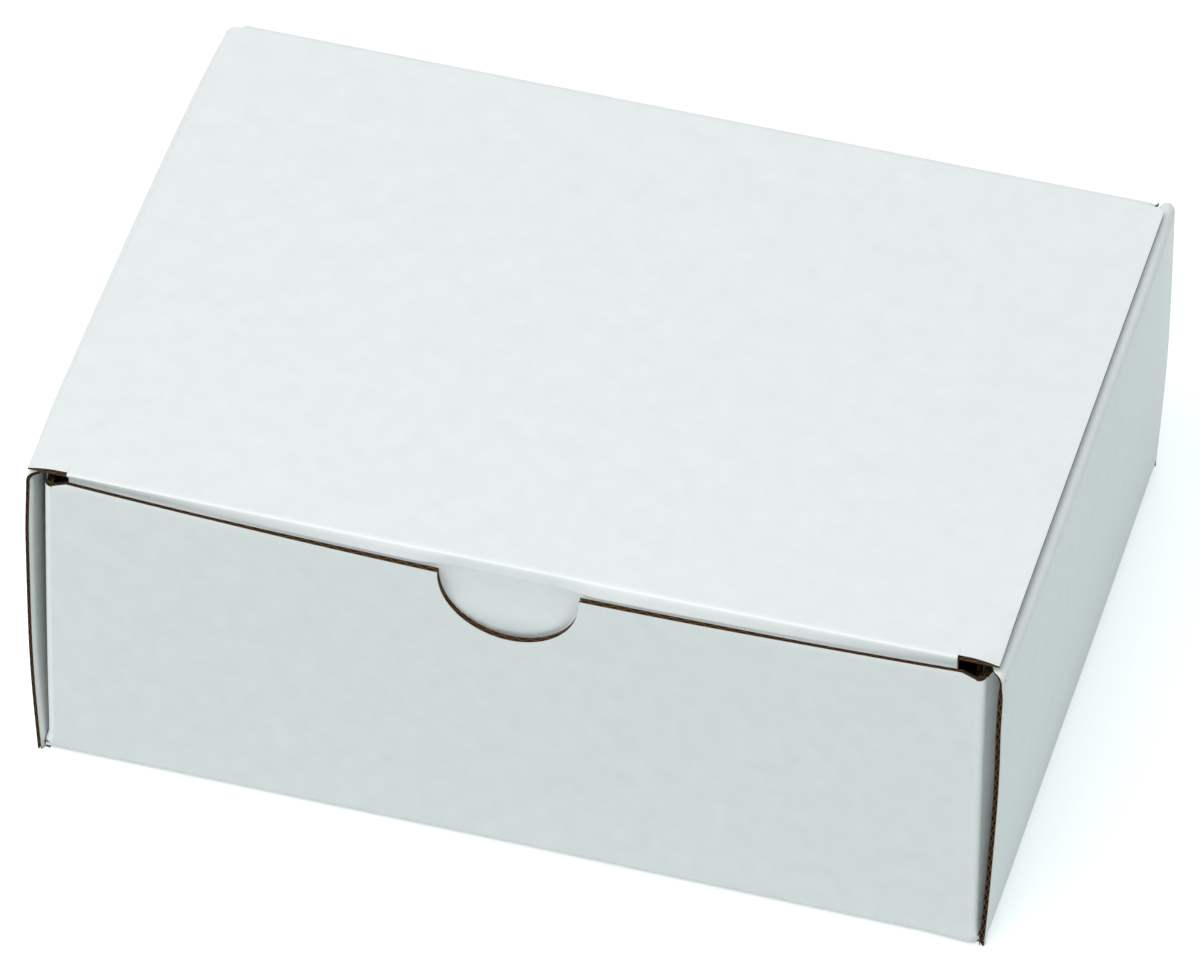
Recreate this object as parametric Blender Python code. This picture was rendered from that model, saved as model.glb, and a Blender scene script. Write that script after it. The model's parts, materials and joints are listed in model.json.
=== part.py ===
"""A roll-end tuck-front box folded from one sheet of thin fluted board, closed.

Metres, +Z up. The origin is the middle of the underside. X runs along the front,
and the front wall with its thumb notch faces -Y. Every flat panel, flap and crease
of the sheet is an object of its own.
"""

import math

import bmesh
import bpy
from mathutils import Vector

# Driving sizes of the closed box
WIDTH = 0.1660
DEPTH = 0.1150
HEIGHT = 0.0645

# The sheet, and the air between its layers
BOARD = 0.0011
LAYER_GAP = 0.0003
SEAM_GAP = 0.0001
FOLD_RADIUS = 0.0009
CORNER_FOLD_RADIUS = 0.0003
ROLL_OUTER_RADIUS = 0.0009
ROLL_INNER_RADIUS = 0.0004
END_AIR = 0.0022

# Front wall
FRONT_DROP = 0.0012
NOTCH_RADIUS = 0.0120
NOTCH_DEPTH = 0.0127
RELIEF_LENGTH = 0.0025
RELIEF_DROP = 0.0012

# Lid and tuck flap
LID_INSET = 0.0007
LID_FRONT_SETBACK = 0.0020
LID_CORNER_RADIUS = 0.0025
TUCK_INSET = 0.0069
TUCK_SLIT = 0.0003
TUCK_LENGTH = 0.0230
TUCK_CORNER_RADIUS = 0.0100
TUCK_SWING_CLEARANCE = 0.0005

# Ends, their corner flaps and lock tabs
END_SETBACK = 0.0004
ROLL_TAPER = 0.0042
CORNER_FLAP_LENGTH = 0.0400
CORNER_FLAP_TAPER = 0.0030
CORNER_FLAP_RADIUS = 0.0060
TAB_CENTRE = 0.0280
TAB_WIDTH = 0.0220
TAB_CHAMFER = 0.0005
TAB_FOOT_GAP = 0.0002
SLOT_CLEARANCE = 0.0002

# How finely the round stretches are cut, and how far a cutter passes its wall
FOLD_STEPS = 6
CORNER_STEPS = 8
NOTCH_STEPS = 28
CUT_OVERRUN = 0.0010
SMOOTH_ANGLE = math.radians(30)

# Finishes: linear colours of the coated paper on its faces
OUTSIDE_WHITE = (0.80, 0.86, 0.86, 1.0)
INSIDE_WHITE = (0.74, 0.79, 0.79, 1.0)
CREASE_WHITE = (0.77, 0.83, 0.83, 1.0)
BOARD_ROUGHNESS = 0.6

# Sizes that follow from those above
HALF_WIDTH = WIDTH / 2
HALF_DEPTH = DEPTH / 2
FOLD_REACH = FOLD_RADIUS + BOARD
CORNER_REACH = CORNER_FOLD_RADIUS + BOARD
ROLL_OUTER_REACH = ROLL_OUTER_RADIUS + BOARD
ROLL_INNER_REACH = ROLL_INNER_RADIUS + BOARD

# The end's three layers, from the outside in, as distances from the middle
OUTER_IN = HALF_WIDTH - BOARD
FLAP_OUT = OUTER_IN - END_AIR
FLAP_IN = FLAP_OUT - BOARD
INNER_OUT = FLAP_IN - LAYER_GAP
INNER_IN = INNER_OUT - BOARD

END_HALF_DEPTH = HALF_DEPTH - END_SETBACK
INNER_HALF_DEPTH = END_HALF_DEPTH - ROLL_TAPER

# Where the roll-over bends begin, the top of the flaps below them, and that of the corners
LID_UNDERSIDE = HEIGHT - BOARD
ROLL_TOP = LID_UNDERSIDE - LAYER_GAP
ROLL_OUTER_START = ROLL_TOP - ROLL_OUTER_REACH
ROLL_INNER_START = ROLL_TOP - ROLL_INNER_REACH
FLAP_TOP = ROLL_INNER_START - LAYER_GAP
FRONT_TOP = HEIGHT - FRONT_DROP
CORNER_TOP = FRONT_TOP - RELIEF_DROP
CORNER_FOOT = FOLD_REACH

# Front and back walls stop where their corner creases begin
WALL_HALF_WIDTH = FLAP_OUT - CORNER_REACH
BEND_X = HALF_WIDTH - FOLD_REACH
BEND_Y = HALF_DEPTH - FOLD_REACH
CORNER_BEND_Y = HALF_DEPTH - CORNER_REACH

# Lid, its hinge line and the centre of the tuck flap's fold
LID_HALF_WIDTH = HALF_WIDTH - LID_INSET
LID_BEND_Z = HEIGHT - FOLD_REACH
HINGE_Y = HALF_DEPTH - BOARD / 2
HINGE_Z = HEIGHT - BOARD / 2
TUCK_HALF_WIDTH = LID_HALF_WIDTH - TUCK_INSET
WALL_INNER_Y = BOARD - HALF_DEPTH
TUCK_BEND_Y = WALL_INNER_Y + LAYER_GAP + FOLD_REACH


def tuck_lean():
    """The angle by which the flap leans inwards, so that its edge swings past the front wall."""
    centre_y = TUCK_BEND_Y - HINGE_Y
    centre_z = LID_BEND_Z - HINGE_Z
    wall_reach = math.hypot(WALL_INNER_Y - HINGE_Y, FRONT_TOP - HINGE_Z)
    edge_reach = wall_reach - TUCK_SWING_CLEARANCE
    across = -centre_y * FOLD_REACH - centre_z * TUCK_LENGTH
    along = centre_y * TUCK_LENGTH - centre_z * FOLD_REACH
    fixed = centre_y**2 + centre_z**2 + FOLD_REACH**2 + TUCK_LENGTH**2
    wanted = (edge_reach**2 - fixed) / 2
    return math.atan2(along, across) + math.acos(wanted / math.hypot(along, across))


def arc(centre, radius, first, last, steps):
    """Points of an arc, with its angles in degrees from the first axis towards the second."""
    angles = [math.radians(first + (last - first) * i / steps) for i in range(steps + 1)]
    return [(centre[0] + radius * math.cos(a), centre[1] + radius * math.sin(a)) for a in angles]


def rectangle(low_u, low_v, high_u, high_v):
    return [(low_u, low_v), (high_u, low_v), (high_u, high_v), (low_u, high_v)]


def bend_outline(centre, inner_radius, first, last):
    """The section of a crease: a strip of the board bent round its centre."""
    outside = arc(centre, inner_radius + BOARD, first, last, FOLD_STEPS)
    inside = arc(centre, inner_radius, last, first, FOLD_STEPS)
    return outside + inside


def finish(name, colour):
    material = bpy.data.materials.new(name)
    material.use_nodes = True
    shader = material.node_tree.nodes["Principled BSDF"]
    shader.inputs["Base Color"].default_value = colour
    shader.inputs["Roughness"].default_value = BOARD_ROUGHNESS
    shader.inputs["Metallic"].default_value = 0.0
    return material


def extruded(name, outline, axis, low, high, colour, origin=(0.0, 0.0, 0.0)):
    """A solid with this outline in the two other axes, from low to high along the named one."""
    place = {
        "X": lambda u, v, w: (w, u, v),
        "Y": lambda u, v, w: (u, w, v),
        "Z": lambda u, v, w: (u, v, w),
    }[axis]
    shape = bmesh.new()
    corners = [shape.verts.new(Vector(place(u, v, low)) - Vector(origin)) for u, v in outline]
    face = shape.faces.new(corners)
    grown = bmesh.ops.extrude_face_region(shape, geom=[face])
    moved = [item for item in grown["geom"] if isinstance(item, bmesh.types.BMVert)]
    bmesh.ops.translate(shape, verts=moved, vec=place(0.0, 0.0, high - low))
    bmesh.ops.recalc_face_normals(shape, faces=shape.faces)
    mesh = bpy.data.meshes.new(name)
    shape.to_mesh(mesh)
    shape.free()
    mesh.shade_smooth()
    mesh.set_sharp_from_angle(angle=SMOOTH_ANGLE)
    mesh.materials.append(finish(name, colour))
    piece = bpy.data.objects.new(name, mesh)
    piece.location = origin
    bpy.context.scene.collection.objects.link(piece)
    return piece


def cut(piece, cutter):
    """Cuts one solid from another, and leaves the cutter as a wire guide."""
    cutter.hide_render = True
    cutter.display_type = "WIRE"
    modifier = piece.modifiers.new(cutter.name, "BOOLEAN")
    modifier.operation = "DIFFERENCE"
    modifier.solver = "EXACT"
    modifier.object = cutter


def axis_empty(name, place, parent=None):
    """An empty on a hinge line, which carries what turns about that line."""
    empty = bpy.data.objects.new(name, None)
    bpy.context.scene.collection.objects.link(empty)
    empty.location = place
    empty.empty_display_size = BOARD
    carry(empty, parent)
    return empty


def carry(piece, parent):
    """Parents a piece whose location was given in the box's frame."""
    if parent:
        piece.parent = parent
        piece.location = piece.location - world_place(parent)


def world_place(obj):
    """Where an unturned chain of parents puts an object's origin."""
    place = obj.location.copy()
    while obj.parent:
        obj = obj.parent
        place += obj.location
    return place


def make_base():
    """The base with a slot under each lock tab."""
    half_width = BEND_X - SEAM_GAP
    half_depth = BEND_Y - SEAM_GAP
    outline = rectangle(-half_width, -half_depth, half_width, half_depth)
    base = extruded("base_panel", outline, "Z", 0.0, BOARD, INSIDE_WHITE)
    slot_half = TAB_WIDTH / 2 + SLOT_CLEARANCE
    slot_in = INNER_IN - SLOT_CLEARANCE
    slot_out = INNER_OUT + SLOT_CLEARANCE
    for side, x in (("left", -1), ("right", 1)):
        for end, y in (("front", -TAB_CENTRE), ("back", TAB_CENTRE)):
            slot = rectangle(x * slot_in, y - slot_half, x * slot_out, y + slot_half)
            name = f"{side}_{end}_slot_cut"
            cutter = extruded(name, slot, "Z", -CUT_OVERRUN, BOARD + CUT_OVERRUN, INSIDE_WHITE)
            cut(base, cutter)


def make_base_creases():
    """The four bends round the base: front, back, left and right."""
    for name, y, first, last in (("front", -BEND_Y, 180, 270), ("back", BEND_Y, 270, 360)):
        outline = bend_outline((y, FOLD_REACH), FOLD_RADIUS, first, last)
        width = WALL_HALF_WIDTH
        extruded(f"base_{name}_crease", outline, "X", -width, width, CREASE_WHITE)
    for name, x, first, last in (("left", -BEND_X, 180, 270), ("right", BEND_X, 270, 360)):
        outline = bend_outline((x, FOLD_REACH), FOLD_RADIUS, first, last)
        depth = END_HALF_DEPTH
        extruded(f"base_{name}_crease", outline, "Y", -depth, depth, CREASE_WHITE)


def front_outline():
    """The front wall seen from the front: a thumb notch in its top, and top corners that slope."""
    half = WALL_HALF_WIDTH - SEAM_GAP
    foot = FOLD_REACH + SEAM_GAP
    slope = WALL_HALF_WIDTH - RELIEF_LENGTH
    notch_centre = (0.0, FRONT_TOP - NOTCH_DEPTH + NOTCH_RADIUS)
    notch = arc(notch_centre, NOTCH_RADIUS, 0, -180, NOTCH_STEPS)
    right = [(half, foot), (half, CORNER_TOP), (slope, FRONT_TOP)]
    left = [(-x, z) for x, z in reversed(right)]
    return right + [(NOTCH_RADIUS, FRONT_TOP)] + notch + [(-NOTCH_RADIUS, FRONT_TOP)] + left


def make_walls():
    """The front wall, and the back wall up to where the lid's crease begins."""
    extruded("front_wall", front_outline(), "Y", -HALF_DEPTH, WALL_INNER_Y, OUTSIDE_WHITE)
    half = WALL_HALF_WIDTH - SEAM_GAP
    outline = rectangle(-half, FOLD_REACH + SEAM_GAP, half, LID_BEND_Z - SEAM_GAP)
    extruded("back_wall", outline, "Y", HALF_DEPTH - BOARD, HALF_DEPTH, OUTSIDE_WHITE)


def make_corner(side, x, end, y):
    """One upright corner crease and the flap that it carries between the end's two panels."""
    centre = (x * WALL_HALF_WIDTH, y * CORNER_BEND_Y)
    towards_wall = 90 * y
    towards_end = 0 if x > 0 else 180 * y
    outline = bend_outline(centre, CORNER_FOLD_RADIUS, towards_wall, towards_end)
    name = f"{end}_{side}_corner_crease"
    extruded(name, outline, "Z", CORNER_FOOT, CORNER_TOP, CREASE_WHITE)

    start = CORNER_BEND_Y - SEAM_GAP
    under = start - (CORNER_TOP - FLAP_TOP)
    free = CORNER_BEND_Y - CORNER_FLAP_LENGTH
    low = CORNER_FOOT + CORNER_FLAP_TAPER
    high = FLAP_TOP - CORNER_FLAP_TAPER
    radius = CORNER_FLAP_RADIUS
    upper = arc((free + radius, high - radius), radius, 90, 180, CORNER_STEPS)
    lower = arc((free + radius, low + radius), radius, 180, 270, CORNER_STEPS)
    shape = [(start, CORNER_FOOT), (start, CORNER_TOP), (under, FLAP_TOP)] + upper + lower
    shape = [(y * depth, height) for depth, height in shape]
    faces = sorted((x * FLAP_IN, x * FLAP_OUT))
    extruded(f"{end}_{side}_corner_flap", shape, "X", *faces, INSIDE_WHITE)


def rollover_outline(x):
    """The section of the roll-over on top of an end: up, across a narrow strip and down."""
    outer = (HALF_WIDTH - ROLL_OUTER_REACH, ROLL_OUTER_START)
    inner = (INNER_IN + ROLL_INNER_REACH, ROLL_INNER_START)
    outside = arc(outer, ROLL_OUTER_REACH, 0, 90, FOLD_STEPS)
    outside += arc(inner, ROLL_INNER_REACH, 90, 180, FOLD_STEPS)
    inside = arc(inner, ROLL_INNER_RADIUS, 180, 90, FOLD_STEPS)
    inside += arc(outer, ROLL_OUTER_RADIUS, 90, 0, FOLD_STEPS)
    return [(x * u, v) for u, v in outside + inside]


def taper_ends(roll):
    """Draws the two ends of a roll-over in, the more so the nearer they are to the inner panel."""
    for corner in roll.data.vertices:
        share = (HALF_WIDTH - abs(corner.co.x)) / (HALF_WIDTH - INNER_IN)
        corner.co.y -= math.copysign(ROLL_TAPER * share, corner.co.y)


def inner_end_outline():
    """The inner end panel with the two lock tabs on its lower edge."""
    foot = BOARD + LAYER_GAP
    top = ROLL_INNER_START - SEAM_GAP
    half = TAB_WIDTH / 2
    tabs = []
    for middle in (-TAB_CENTRE, TAB_CENTRE):
        tabs += [(middle - half, foot), (middle - half, TAB_FOOT_GAP + TAB_CHAMFER)]
        tabs += [(middle - half + TAB_CHAMFER, TAB_FOOT_GAP)]
        tabs += [(middle + half - TAB_CHAMFER, TAB_FOOT_GAP)]
        tabs += [(middle + half, TAB_FOOT_GAP + TAB_CHAMFER), (middle + half, foot)]
    depth = INNER_HALF_DEPTH
    return [(-depth, top), (-depth, foot)] + tabs + [(depth, foot), (depth, top)]


def make_end(side, x):
    """One end: outer panel, roll-over, and inner panel locked into the base."""
    foot = FOLD_REACH + SEAM_GAP
    outline = rectangle(-END_HALF_DEPTH, foot, END_HALF_DEPTH, ROLL_OUTER_START - SEAM_GAP)
    faces = sorted((x * OUTER_IN, x * HALF_WIDTH))
    extruded(f"{side}_end_outer", outline, "X", *faces, OUTSIDE_WHITE)
    section = rollover_outline(x)
    name = f"{side}_end_rollover"
    taper_ends(extruded(name, section, "Y", -END_HALF_DEPTH, END_HALF_DEPTH, CREASE_WHITE))
    faces = sorted((x * INNER_IN, x * INNER_OUT))
    extruded(f"{side}_end_inner", inner_end_outline(), "X", *faces, INSIDE_WHITE)


def lid_outline():
    """The lid from above: rounded back corners, and a front cut back where the tuck flap folds."""
    back = BEND_Y - SEAM_GAP
    front = LID_FRONT_SETBACK - HALF_DEPTH
    fold = TUCK_BEND_Y + SEAM_GAP
    slit = TUCK_HALF_WIDTH + TUCK_SLIT
    corner = (LID_HALF_WIDTH - LID_CORNER_RADIUS, back - LID_CORNER_RADIUS)
    rounded = arc(corner, LID_CORNER_RADIUS, 0, 90, CORNER_STEPS)
    right = [(slit, fold), (slit, front), (LID_HALF_WIDTH, front)] + rounded
    return right + [(-x, y) for x, y in reversed(right)]


def make_lid():
    """The lid on its hinge line, and the crease that joins it to the back wall."""
    place = (0.0, HINGE_Y, HINGE_Z)
    hinge = axis_empty("lid_hinge_line", place)
    lid = extruded("lid_panel", lid_outline(), "Z", LID_UNDERSIDE, HEIGHT, OUTSIDE_WHITE, place)
    carry(lid, hinge)
    outline = bend_outline((BEND_Y, LID_BEND_Z), FOLD_RADIUS, 0, 90)
    width = WALL_HALF_WIDTH
    extruded("lid_crease", outline, "X", -width, width, CREASE_WHITE)
    return hinge


def tuck_outline():
    """The tuck flap seen from the front, hanging below its fold, with rounded free corners."""
    root = LID_BEND_Z - SEAM_GAP
    free = LID_BEND_Z - TUCK_LENGTH
    radius = TUCK_CORNER_RADIUS
    corner = (TUCK_HALF_WIDTH - radius, free + radius)
    right = arc(corner, radius, -90, 0, CORNER_STEPS) + [(TUCK_HALF_WIDTH, root)]
    return right + [(-x, z) for x, z in reversed(right)]


def make_tuck(hinge):
    """The flap behind the front wall and the crease that joins it to the lid."""
    lean = tuck_lean()
    place = (0.0, TUCK_BEND_Y, LID_BEND_Z)
    outline = bend_outline((TUCK_BEND_Y, LID_BEND_Z), FOLD_RADIUS, 90, 180 + math.degrees(lean))
    width = TUCK_HALF_WIDTH
    crease = extruded("tuck_crease", outline, "X", -width, width, CREASE_WHITE, place)
    carry(crease, hinge)
    fold = axis_empty("tuck_fold_line", place, hinge)
    faces = (TUCK_BEND_Y - FOLD_REACH, TUCK_BEND_Y - FOLD_RADIUS)
    flap = extruded("tuck_flap", tuck_outline(), "Y", *faces, OUTSIDE_WHITE, place)
    flap.rotation_euler.x = lean
    carry(flap, fold)


def main():
    for obj in list(bpy.data.objects):
        bpy.data.objects.remove(obj, do_unlink=True)
    make_base()
    make_base_creases()
    make_walls()
    for side, x in (("left", -1), ("right", 1)):
        make_end(side, x)
        for end, y in (("front", -1), ("back", 1)):
            make_corner(side, x, end, y)
    make_tuck(make_lid())


main()
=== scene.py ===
"""The looks of a white fluted-board box, laid out as an add-on and run as a script.

Every piece is cut from one kind of board: two white papers over a fluted brown one. A
Geometry Nodes tree lays that board up on a flat blank, and a short function for each
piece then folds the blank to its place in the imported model. Metres, +Z up. In a blank,
u runs across the flutes, v along them, and w from the inner face to the outer one.
"""

import json
import math

import bpy
import numpy as np
from mathutils import Matrix, Vector


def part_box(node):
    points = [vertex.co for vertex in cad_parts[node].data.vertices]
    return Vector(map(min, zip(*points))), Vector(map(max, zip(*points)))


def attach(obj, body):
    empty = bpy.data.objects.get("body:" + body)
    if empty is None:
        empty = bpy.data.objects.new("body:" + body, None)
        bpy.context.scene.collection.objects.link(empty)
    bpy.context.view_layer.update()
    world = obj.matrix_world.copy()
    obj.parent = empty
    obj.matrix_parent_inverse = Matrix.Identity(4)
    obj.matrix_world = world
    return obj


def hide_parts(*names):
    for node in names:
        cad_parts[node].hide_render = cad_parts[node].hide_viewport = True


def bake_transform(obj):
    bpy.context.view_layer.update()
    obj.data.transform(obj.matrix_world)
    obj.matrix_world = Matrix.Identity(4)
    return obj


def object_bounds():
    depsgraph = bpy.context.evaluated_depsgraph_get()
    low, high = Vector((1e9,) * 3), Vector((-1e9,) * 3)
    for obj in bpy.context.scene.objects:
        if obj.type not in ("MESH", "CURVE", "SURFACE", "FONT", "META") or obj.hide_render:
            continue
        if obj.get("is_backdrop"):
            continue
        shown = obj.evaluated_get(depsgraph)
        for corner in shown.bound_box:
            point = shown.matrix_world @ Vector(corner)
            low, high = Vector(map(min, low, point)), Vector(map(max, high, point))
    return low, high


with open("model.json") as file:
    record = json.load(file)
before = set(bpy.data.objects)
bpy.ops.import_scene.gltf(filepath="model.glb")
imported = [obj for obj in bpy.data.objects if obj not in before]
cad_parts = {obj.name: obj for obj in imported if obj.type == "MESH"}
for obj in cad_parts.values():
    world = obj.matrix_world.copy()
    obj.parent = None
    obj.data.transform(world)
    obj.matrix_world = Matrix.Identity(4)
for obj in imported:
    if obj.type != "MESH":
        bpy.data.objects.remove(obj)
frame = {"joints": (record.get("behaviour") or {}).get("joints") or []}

bl_info = {
    "name": "White tuck box",
    "version": (1, 0, 0),
    "blender": (4, 5, 0),
    "location": "3D View > Sidebar > Tuck box",
    "description": "Lays up, folds and finishes the pieces of a white fluted-board box",
    "category": "Object",
}

CAD_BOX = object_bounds()
SIDES = (("left", -1), ("right", 1))
ENDS = (("front", -1), ("back", 1))
NUMBER = "NodeSocketFloat"

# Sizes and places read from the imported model
HALF_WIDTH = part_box("right_end_outer")[1].x
HALF_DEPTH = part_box("back_wall")[1].y
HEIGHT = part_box("lid_panel")[1].z
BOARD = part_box("base_panel")[1].z
FOLD_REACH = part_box("base_left_crease")[1].z
FOLD_RADIUS = FOLD_REACH - BOARD
BEND_X = HALF_WIDTH - FOLD_REACH
BEND_Y = HALF_DEPTH - FOLD_REACH
END_HALF_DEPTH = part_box("right_end_outer")[1].y
OUTER_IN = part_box("right_end_outer")[0].x
FLAP_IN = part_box("front_right_corner_flap")[0].x
INNER_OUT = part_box("right_end_inner")[1].x
INNER_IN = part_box("right_end_inner")[0].x
TAB_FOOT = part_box("right_end_inner")[0].z
INNER_HALF_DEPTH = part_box("right_end_inner")[1].y
ROLL_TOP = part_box("right_end_rollover")[1].z
WALL_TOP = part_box("front_wall")[1].z
WALL_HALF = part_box("front_right_corner_crease")[0].x
CORNER_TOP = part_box("front_right_corner_crease")[1].z
CORNER_BEND_Y = -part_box("front_right_corner_crease")[1].y
CORNER_RADIUS = HALF_DEPTH - CORNER_BEND_Y - BOARD
LID_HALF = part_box("lid_panel")[1].x
LID_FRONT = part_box("lid_panel")[0].y
LID_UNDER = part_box("lid_panel")[0].z
CREASE_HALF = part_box("lid_crease")[1].x
LID_BEND_Z = HEIGHT - FOLD_REACH
FLAP_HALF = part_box("tuck_flap")[1].x
TUCK_BEND_Y = next(Vector(joint["pos_m"]).y for joint in frame["joints"] if joint["name"] == "tuck_fold")

# Sizes of the outlines that a box round a piece doesn't give
ROLL_OUTER_REACH = 0.0015
ROLL_INNER_REACH = 0.0015
NOTCH_RADIUS = 0.0120
NOTCH_DEPTH = 0.0127
RELIEF_X = WALL_HALF - 0.0025
FLAP_TOP = ROLL_TOP - ROLL_INNER_REACH - 0.0003
FLAP_FREE_Y = CORNER_BEND_Y - 0.0400
FLAP_TAPER = 0.0030
FLAP_ROUND = 0.0060
TAB_CENTRE = 0.0280
TAB_WIDTH = 0.0220
TAB_SHOULDER = BOARD + 0.0003
SLOT_CLEARANCE = 0.0002
TUCK_LENGTH = 0.0230
TUCK_ROUND = 0.0100
TUCK_LEAN = math.radians(7.19)
TUCK_CURL = 0.0020
TUCK_CURL_POWER = 4
BEAD_Y = -0.0562
BEAD_POWER = 4
LID_CORNER = 0.0017
CREASE_SPREAD = 0.0022
END_LEAN = 0.0010
END_LEAN_START = 0.050
FREE_FOOT = 0.0008
FOOT_AIR = 0.0002
SLIT = 0.00001

# How far the fold at each wall's foot reaches past the wall, on the left and on the right
FOOT_SPREAD = {"front": (0.0010, 0.0018), "back": (0.0, 0.0)}

# The furthest place on a corner fold that the foot's fold follows, as a share of its reach
DROP_LIMIT_SHARE = 0.98

# How a knife pressed the cut edges: the share of the thickness kept, the share of the way from
# the inner face to the outer one that is held, and how far in the press reaches
END_PRESS = {"left": (0.58, 1.0), "right": (0.78, 0.4)}
END_REACH = 0.0009
ROLL_KEPT = {"left": 0.6, "right": 0.4}
ROLL_BLEND = 0.004
WALL_KEPT = 0.62
WALL_KEPT_MORE = 0.36
WALL_OPEN_HALF = 0.050
WALL_HELD = 0.6
WALL_REACH = 0.0005
LID_KEPT = 0.3
LID_KEPT_MORE = 0.1
LID_REACH = 0.0012
LID_REACH_MORE = 0.0040
LID_NEAR_FRONT = 0.012
BEAD_PRESS = 0.6

# How the board gives: where each movement starts and is whole, its shares and its powers
END_RANGE = (INNER_OUT + BOARD + 0.0004, BEND_X + 0.0002)
FRONT_RANGE = (HALF_DEPTH - 0.012, HALF_DEPTH - 0.004)
CORNER_POWER = 6
BOW_LIMIT = 1.1
BOW_POWER = 1.6
SHIFT_RISE = {"left": 1.5, "right": 0.95}
SHIFT_FOOT = 0.5
FLARE_X = 0.070
FLARE_HEIGHTS = (0.0005, 0.0045)
RIGHT_FLARE_SHARE = 0.4
RIGHT_FOOT_FORWARD = 0.0004
SPREAD_X = 0.020
SPREAD_HEIGHT = 0.080
SPREAD_POWER = 1.5
BACK_TOP_MORE = 0.4
BACK_TOP_START = 0.050
SPRING_REACH = 0.008

# The waver's two waves: radians per metre along x, y and z, and where their sines start
SLOW_WAVE = (61.0, 53.0, 47.0)
QUICK_WAVE = (133.0, 91.0, 158.0)
WAVE_STARTS = (0.7, 0.4, 2.1)
WAVE_TWIST = 1.3
SLOW_SHARE = 0.65

# The tuck flap where the notch shows it: set back, and swollen just above the notch's rim
SETBACK_RANGE = (0.008, 0.016)
SETBACK_RISE = 0.003
SWELL = 0.0003
SWELL_START = 0.0001
SWELL_WHOLE = 0.0007
SWELL_TOP = 0.008
FLAP_AIR = 0.00005

# How finely the board is cut into faces
FLUTE_COLUMNS = 8
NEAR_SHARES = (0.03, 0.1, 0.2, 0.35)
FOLD_SHARES = np.linspace(0.0, 1.0, 11)
PANEL_ROWS = 14
EDGE_SHARES = (0.004, 0.012, 0.03)
ROUND_STEPS = 12
TUCK_STEPS = 16
NOTCH_STEPS = 24
WELD = 1e-6
SHARP_ANGLE = math.radians(35)

# Grain and wear of the papers, a painted highlight at their folds and painted shade at their very foot: noise
# scales per metre, distances, and shares
MOTTLE_SCALE = 240.0
STREAK_SCALE = 260.0
FIBRE_SCALE = 900.0
FIBRE_DISTORTION = 1.2
FELT_SCALE = 320.0
FELT_HEIGHT = 0.8
FELT_SHARE = 0.25
SPECK_SCALE = 70.0
SPECK_CHANCE = 0.015
SPECK_RADIUS = 0.02
PATCH_SCALE = 180.0
PATCH_RANGE = (0.8, 0.7)
FOLD_HIGHLIGHT_AND_POLISH_WIDTH = 0.0011
EDGE_WEAR_WIDTH = 0.0004
EDGE_SOIL = 0.4
SPECK_STRENGTH = 0.6
FOOT_SHADE = 0.6
FOOT_SHADE_HEIGHTS = (0.0006, 0.0012)
ROUGHNESS_RANGE = 0.12
FOLD_POLISH = 0.10

# Shades of each paper's own colour, with a painted highlight for its folds and one dark shade that serves
# both its specks and the painted shade at its foot, and how deep its relief is
WHITE_SHADES = {"dark": 0.92, "pale": 1.06, "fold": 1.13, "edge": 0.85, "soil": 0.35}
BROWN_SHADES = {"dark": 0.6, "pale": 1.3}
WHITE_RELIEF = 0.00004
BROWN_RELIEF = 0.00008

# The stage
FLOOR_ROUGHNESS = 0.9
KEY_PLACE = (-0.40, -0.74, 1.76)
KEY_SIZE = 1.2
FILL_PLACE = (-0.30, 1.30, 1.40)
FILL_SIZE = 1.0
SENSOR_WIDTH = 36.0
CLIP_RANGE = (0.05, 20.0)
WHITE = (1.0, 1.0, 1.0)


def number(name, description, default, **kind):
    """A setting that holds a number."""
    return bpy.props.FloatProperty(name=name, description=description, default=default, **kind)


def metres(name, description, default):
    """A setting that holds a length."""
    return number(name, description, default, unit="LENGTH")


def degrees(name, description, default):
    """A setting that holds an angle, given in degrees."""
    return number(name, description, math.radians(default), subtype="ANGLE")


def paint(name, description, default):
    """A setting that holds a colour."""
    return bpy.props.FloatVectorProperty(name=name, description=description, default=default, subtype="COLOR")


class BoardSizes(bpy.types.PropertyGroup):
    """The make-up of the board"""

    liner: metres("Liner", "Thickness of each white paper", 0.00017)
    medium: metres("Medium", "Thickness of the fluted paper", 0.00015)
    pitch: metres("Flute pitch", "Length of one flute", 0.0024)
    pinch: number(
        "Pinched edge", "Share of the board's thickness left where a knife cut it", 0.42, subtype="FACTOR"
    )
    pinch_width: metres("Pinch width", "How far in the pinch reaches", 0.0011)


class BoxShape(bpy.types.PropertyGroup):
    """How far the folded board gives from the flat"""

    front_bow: metres("Front bow", "How far the front wall's top leans out at its middle", 0.0022)
    front_lean: metres("Front lean", "How far the front wall's top leans in at its corners", 0.0011)
    front_shift: metres("Front shift", "How far the front wall stands to the right", 0.0006)
    flare: metres("Foot flare", "How far the front wall's foot spreads at its left corner", 0.0009)
    left_spread: metres("Left spread", "How far the front wall's left edge spreads at its foot", 0.0015)
    foot_forward: metres("Left foot", "How far the left end's foot stands forward", 0.0006)
    back_reach: metres("Back reach", "How far the right end reaches past the back wall", 0.0021)
    end_rise: metres("End rise", "How far each end's top rises towards the front", 0.0006)
    notch_setback: metres(
        "Notch setback", "How far behind the front wall the tuck flap shows in the notch", 0.0009
    )
    rack: metres("Rack", "How far the front is out of square at each corner", 0.0005)
    lid_lift: metres("Lid lift", "How far the lid's front stands above level", 0.0013)
    end_bow: metres("End bow", "How far each end stands out between its corners", 0.0010)
    foot_in: metres("End foot", "How far each end's foot stands in", 0.0009)
    end_bulge: metres("End bulge", "How far each end stands out two thirds of the way up", 0.00035)
    bulge_height: metres("Bulge height", "Where the bulge is widest", 0.042)
    flap_spring: metres("Flap spring", "How far a corner flap's foot springs out from square", 0.0010)
    waver: metres("Waver", "Unevenness of the folded board", 0.00012)


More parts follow.
